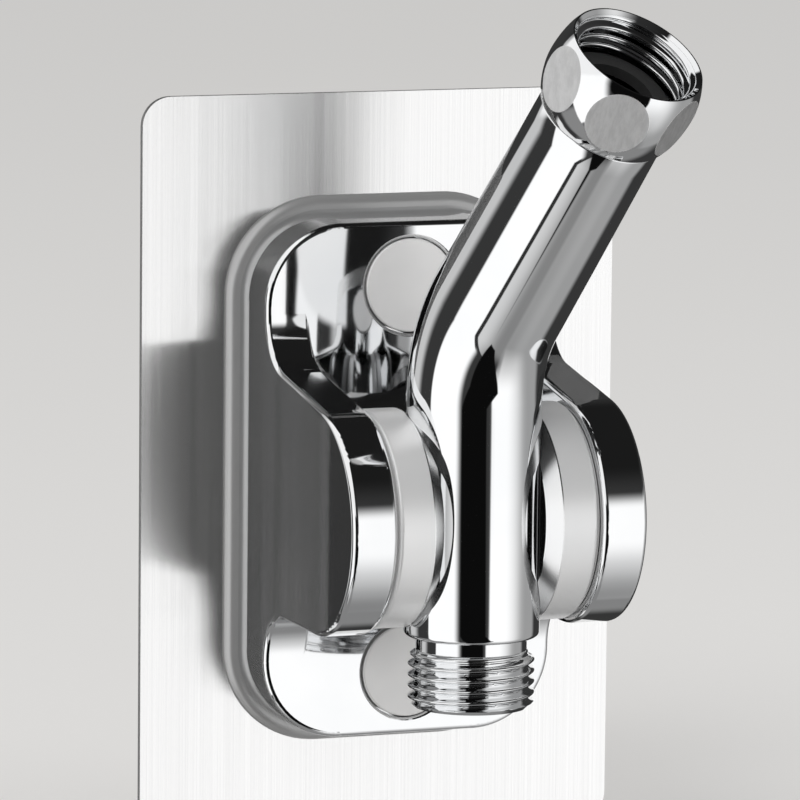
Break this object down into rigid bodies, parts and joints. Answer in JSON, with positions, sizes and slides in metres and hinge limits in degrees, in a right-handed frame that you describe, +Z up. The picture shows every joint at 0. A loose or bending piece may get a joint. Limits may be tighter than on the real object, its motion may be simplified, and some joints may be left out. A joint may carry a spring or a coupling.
{
  "type": "shower arm elbow",
  "caption": "Bent chrome shower tube with a loose union nut and a hose thread, held in a tilting hub between the ears of a bracket on a stainless wall plate.",
  "frame": {"origin": "on the wall, behind the middle of the plate", "axes": "+X right, +Y into the wall, +Z up"},
  "size_m": [0.085, 0.0911, 0.1476],
  "materials": {
    "chrome": "mirror polish",
    "chrome_satin": "polished, slightly soft",
    "cap_chrome": "flat polish",
    "brushed_plate": "brushed upright",
    "steel": "plain",
    "rubber": "matt",
    "washer_plastic": "satin",
    "foam_adhesive": "matt"
  },
  "bodies": {
    "bracket": {"adhesive_sheet": "foam_adhesive", "wall_plate": "brushed_plate", "bracket_body": "chrome", "upper_stud": "steel", "upper_stud_washer": "steel", "upper_stud_nut": "steel", "upper_cap": "cap_chrome", "lower_stud": "steel", "lower_stud_washer": "steel", "lower_stud_nut": "steel", "lower_cap": "cap_chrome"},
    "hub": {"hub": "chrome_satin", "swivel_stop_screw": "steel", "left_pivot_pin": "steel", "right_pivot_pin": "steel", "left_friction_washer": "washer_plastic", "right_friction_washer": "washer_plastic"},
    "tube": {"elbow_tube": "chrome", "retaining_ring": "steel", "sealing_washer": "rubber"},
    "nut": {"union_nut": "chrome"}
  },
  "joints": [
    {"name": "hub_tilt", "type": "hinge", "parent": "bracket", "child": "hub", "pos_m": [0, -0.0412, -0.0024], "axis": [1, 0, 0], "range_deg": [-25, 25]},
    {"name": "tube_swivel", "type": "hinge", "parent": "hub", "child": "tube", "pos_m": [0, -0.0468, 0], "axis": [0, 0, 1], "range_deg": [-51.5, 8.5]},
    {"name": "nut_spin", "type": "hinge", "parent": "tube", "child": "nut", "pos_m": [0.01229, -0.07799, 0.07158], "axis": [0.219, -0.556, 0.8018], "continuous": true}
  ]
}
